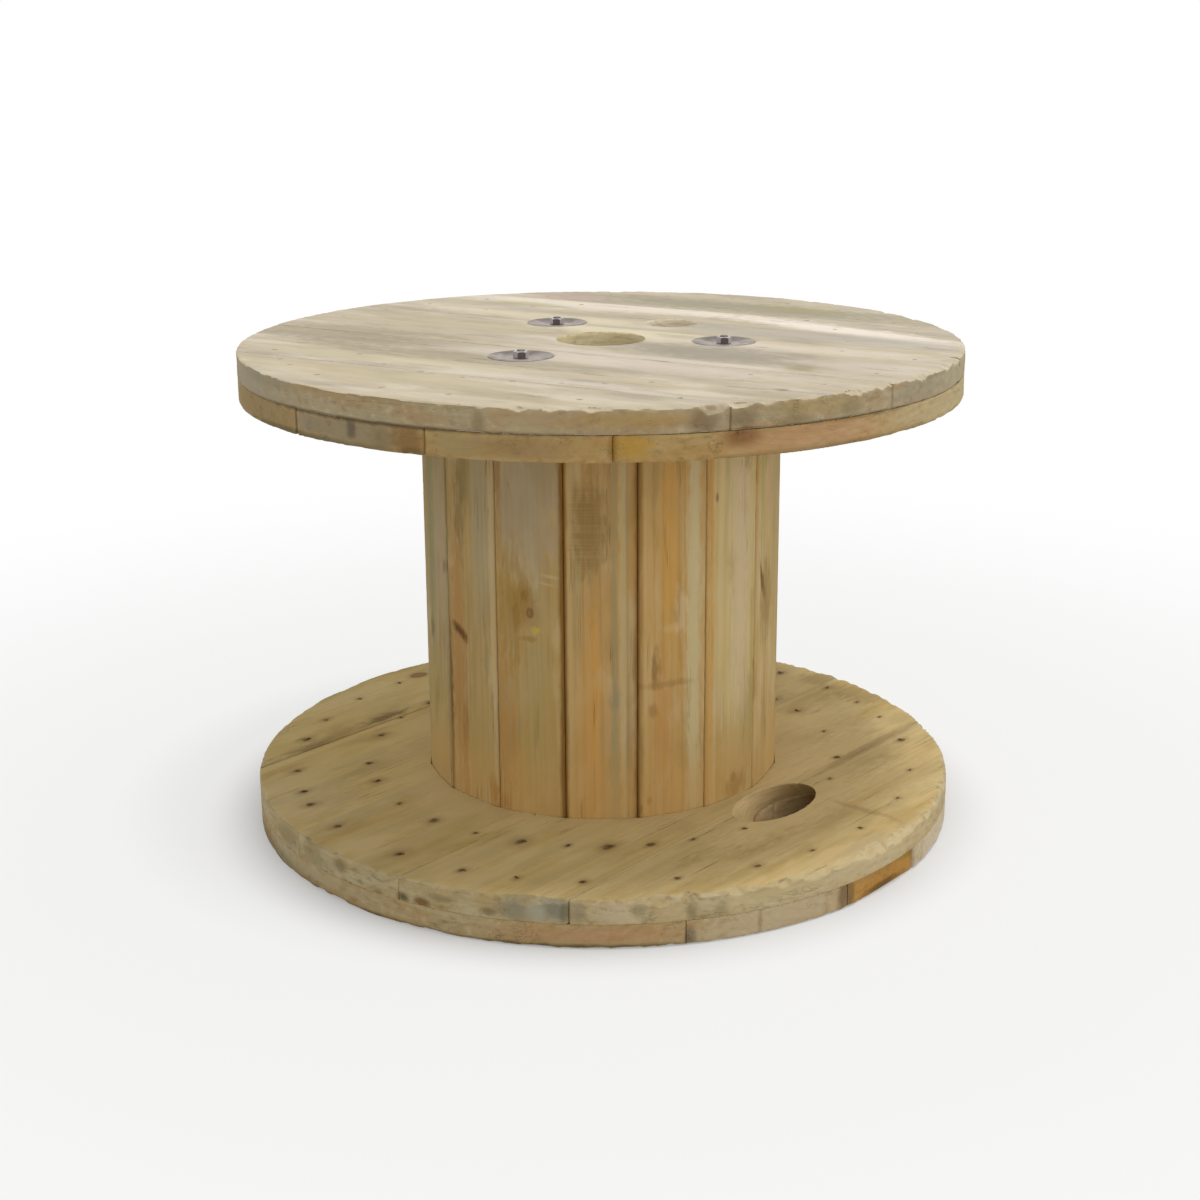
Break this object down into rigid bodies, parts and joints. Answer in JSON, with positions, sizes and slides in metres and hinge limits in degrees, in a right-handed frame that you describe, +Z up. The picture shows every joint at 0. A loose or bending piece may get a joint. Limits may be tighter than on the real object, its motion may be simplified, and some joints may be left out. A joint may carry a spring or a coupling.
{
  "type": "wooden cable drum",
  "caption": "Cable drum standing on end: round flanges of crossed boards, a barrel of upright staves, a spindle bore, drive holes, a slanted cable hole and through tie bolts.",
  "frame": {"origin": "on the drum's axis, at the underside it stands on", "axes": "+Z up along the drum's axis; -Y is the side seen in front"},
  "size_m": [0.71, 0.71, 0.4856],
  "materials": {
    "outer_boards": "rough sawn, weathered",
    "inner_boards": "rough sawn, yellowed",
    "staves": "planed, stained",
    "washers": "zinc plated, dull",
    "bolts": "zinc plated, dark with age"
  },
  "bodies": {
    "root": {"lower_outer_board_1": "outer_boards", "lower_outer_board_2": "outer_boards", "lower_outer_board_3": "outer_boards", "lower_outer_board_4": "outer_boards", "lower_outer_board_5": "outer_boards", "lower_inner_board_1": "inner_boards", "lower_inner_board_2": "inner_boards", "lower_inner_board_3": "inner_boards", "lower_inner_board_4": "inner_boards", "lower_inner_board_5": "inner_boards", "upper_inner_board_1": "inner_boards", "upper_inner_board_2": "inner_boards", "upper_inner_board_3": "inner_boards", "upper_inner_board_4": "inner_boards", "upper_inner_board_5": "inner_boards", "upper_outer_board_1": "outer_boards", "upper_outer_board_2": "outer_boards", "upper_outer_board_3": "outer_boards", "upper_outer_board_4": "outer_boards", "upper_outer_board_5": "outer_boards", "stave_1": "staves", "stave_2": "staves", "stave_3": "staves", "stave_4": "staves", "stave_5": "staves", "stave_6": "staves", "stave_7": "staves", "stave_8": "staves", "stave_9": "staves", "stave_10": "staves", "stave_11": "staves", "stave_12": "staves", "stave_13": "staves", "stave_14": "staves", "stave_15": "staves", "stave_16": "staves", "tie_bolt_1": "bolts", "lower_washer_1": "washers", "upper_washer_1": "washers", "nut_1": "bolts", "tie_bolt_2": "bolts", "lower_washer_2": "washers", "upper_washer_2": "washers", "nut_2": "bolts", "tie_bolt_3": "bolts", "lower_washer_3": "washers", "upper_washer_3": "washers", "nut_3": "bolts"}
  },
  "joints": []
}
